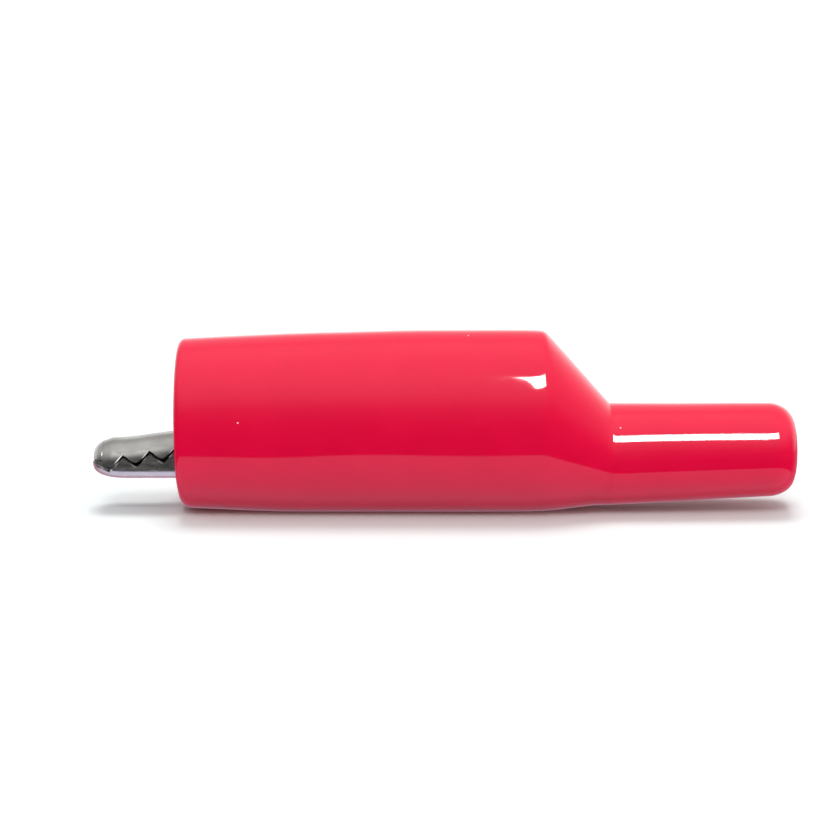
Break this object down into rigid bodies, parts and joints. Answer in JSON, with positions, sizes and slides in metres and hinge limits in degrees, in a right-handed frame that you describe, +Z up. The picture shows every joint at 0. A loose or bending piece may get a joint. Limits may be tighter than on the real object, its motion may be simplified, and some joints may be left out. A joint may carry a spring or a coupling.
{
  "type": "alligator clip lead",
  "caption": "Spring-loaded toothed alligator test clip in a slip-on glossy red insulating boot, with a plug socket and a wire terminal inside; the lead is not fitted.",
  "frame": {"origin": "on the supporting surface, under the middle of the whole length", "axes": "+X along the clip from the jaws to the tail of the boot, +Y across it, +Z up"},
  "size_m": [0.0684, 0.0142, 0.0176],
  "materials": {
    "boot_vinyl": "glossy dip-moulded red vinyl",
    "nickel_steel": "nickel-plated stamped steel",
    "rivet_steel": "plated tubular rivet",
    "spring_steel": "bright spring wire",
    "screw_steel": "zinc-plated machine screw and washer"
  },
  "bodies": {
    "clip_frame": {"fixed_jaw_frame": "nickel_steel", "pivot_rivet": "rivet_steel", "torsion_spring": "spring_steel"},
    "upper_jaw": {"moving_jaw_lever": "nickel_steel"},
    "boot": {"insulating_boot": "boot_vinyl"},
    "washer": {"clamp_washer": "screw_steel"},
    "screw": {"terminal_screw": "screw_steel"}
  },
  "joints": [
    {"name": "jaw_pivot", "type": "hinge", "parent": "clip_frame", "child": "upper_jaw", "pos_m": [-0.006, 0, 0.0074], "axis": [0, 1, 0], "range_deg": [0, 16], "stiffness_Nm_per_rad": 0.01, "springref_deg": -17.19, "deforming": ["torsion_spring"]},
    {"name": "boot_slide", "type": "slide", "parent": "clip_frame", "child": "boot", "axis": [1, 0, 0], "range_m": [0, 0.044]},
    {"name": "washer_lift", "type": "slide", "parent": "clip_frame", "child": "washer", "axis": [0, 0, 1], "range_m": [0, 0.0012]},
    {"name": "screw_turn", "type": "hinge", "parent": "washer", "child": "screw", "pos_m": [0.009, 0, 0.0045], "axis": [0, 0, 1], "range_deg": [0, 961]}
  ],
  "couplings": [
    {"joint": "screw_turn", "follows": "washer_lift", "rad_per_m": 13963}
  ]
}
